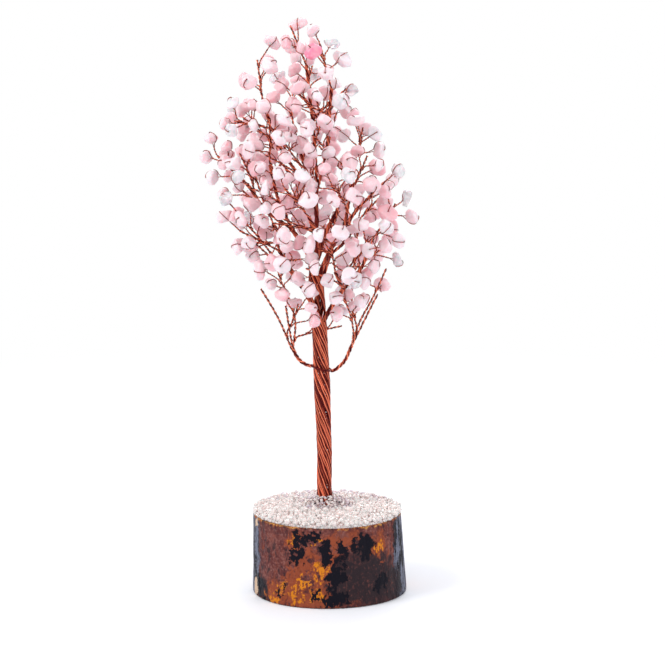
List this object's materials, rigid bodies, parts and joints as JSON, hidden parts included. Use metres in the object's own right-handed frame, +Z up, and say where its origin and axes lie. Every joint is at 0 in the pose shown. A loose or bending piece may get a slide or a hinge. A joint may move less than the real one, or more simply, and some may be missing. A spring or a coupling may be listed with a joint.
{
  "type": "gemstone tree ornament",
  "caption": "Small bonsai-like tree of twisted copper wire with drilled rose quartz chips on its twigs, in a gravel bed on a round bark-edged slice of wood.",
  "frame": {"origin": "centre of the underside of the wood slice, on the surface it stands on", "axes": "+Z up along the trunk, +X to the viewer's right in the pictured view, +Y away from the viewer"},
  "size_m": [0.0958, 0.0788, 0.2543],
  "materials": {
    "copper_wire": "bright drawn copper wire, slightly tarnished between the turns",
    "rose_quartz": "tumbled translucent pink quartz",
    "gravel_quartz": "crushed pale quartz, sharp-edged",
    "glue": "clear set glue",
    "bark": "lacquered bark, dark red-brown with amber and black patches",
    "wood": "sawn and lacquered end grain"
  },
  "bodies": {
    "trunk": {"arm_wrap": "copper_wire", "bark": "bark", "glue_bed": "glue", "gravel_field": "gravel_quartz", "gravel_heart": "gravel_quartz", "gravel_rim": "gravel_quartz", "leader_bundle": "copper_wire", "leader_chips": "rose_quartz", "leader_stalks": "copper_wire", "leader_twigs": "copper_wire", "trunk_core": "copper_wire", "trunk_strand_1": "copper_wire", "trunk_strand_2": "copper_wire", "trunk_strand_3": "copper_wire", "trunk_strand_4": "copper_wire", "trunk_strand_5": "copper_wire", "trunk_strand_6": "copper_wire", "wood_slice": "wood"},
    "limb_1": {"limb_1_bundle": "copper_wire", "limb_1_chips": "rose_quartz", "limb_1_stalks": "copper_wire", "limb_1_twigs": "copper_wire"},
    "limb_2": {"limb_2_bundle": "copper_wire", "limb_2_chips": "rose_quartz", "limb_2_stalks": "copper_wire", "limb_2_twigs": "copper_wire"},
    "limb_3": {"limb_3_bundle": "copper_wire", "limb_3_chips": "rose_quartz", "limb_3_stalks": "copper_wire", "limb_3_twigs": "copper_wire"},
    "limb_4": {"limb_4_bundle": "copper_wire", "limb_4_chips": "rose_quartz", "limb_4_stalks": "copper_wire", "limb_4_twigs": "copper_wire"},
    "limb_5": {"limb_5_bundle": "copper_wire", "limb_5_chips": "rose_quartz", "limb_5_stalks": "copper_wire", "limb_5_twigs": "copper_wire"},
    "limb_6": {"limb_6_bundle": "copper_wire", "limb_6_chips": "rose_quartz", "limb_6_stalks": "copper_wire", "limb_6_twigs": "copper_wire"},
    "left_arm": {"left_arm_bundle": "copper_wire", "left_arm_chips": "rose_quartz", "left_arm_stalks": "copper_wire", "left_arm_twigs": "copper_wire"},
    "right_arm": {"right_arm_bundle": "copper_wire", "right_arm_chips": "rose_quartz", "right_arm_stalks": "copper_wire", "right_arm_twigs": "copper_wire"}
  },
  "joints": [
    {"name": "limb_1_bend", "type": "hinge", "parent": "trunk", "child": "limb_1", "pos_m": [-0.00145, -0.00096, 0.121], "axis": [0.4226, 0.9063, 0], "range_deg": [-2, 8]},
    {"name": "limb_2_bend", "type": "hinge", "parent": "trunk", "child": "limb_2", "pos_m": [-0.00619, 0.00046, 0.1275], "axis": [-0.2045, -0.9789, 0], "range_deg": [-2, 8]},
    {"name": "limb_3_bend", "type": "hinge", "parent": "trunk", "child": "limb_3", "pos_m": [-0.00335, 0.00199, 0.134], "axis": [-0.878, 0.4787, 0], "range_deg": [-2, 8]},
    {"name": "limb_4_bend", "type": "hinge", "parent": "trunk", "child": "limb_4", "pos_m": [-0.00344, -0.00171, 0.141], "axis": [0.7547, 0.6561, 0], "range_deg": [-2, 8]},
    {"name": "limb_5_bend", "type": "hinge", "parent": "trunk", "child": "limb_5", "pos_m": [-0.00698, -0.0008, 0.148], "axis": [0.3518, -0.9361, 0], "range_deg": [-2, 8]},
    {"name": "limb_6_bend", "type": "hinge", "parent": "trunk", "child": "limb_6", "pos_m": [-0.00271, 0.00114, 0.155], "axis": [-0.503, 0.8643, 0], "range_deg": [-2, 8]},
    {"name": "left_arm_bend", "type": "hinge", "parent": "trunk", "child": "left_arm", "pos_m": [-0.00834, 0, 0.10105], "axis": [0, -1, 0], "range_deg": [-2, 25]},
    {"name": "right_arm_bend", "type": "hinge", "parent": "trunk", "child": "right_arm", "pos_m": [0.00345, 0, 0.09895], "axis": [0, 1, 0], "range_deg": [-2, 25]}
  ]
}
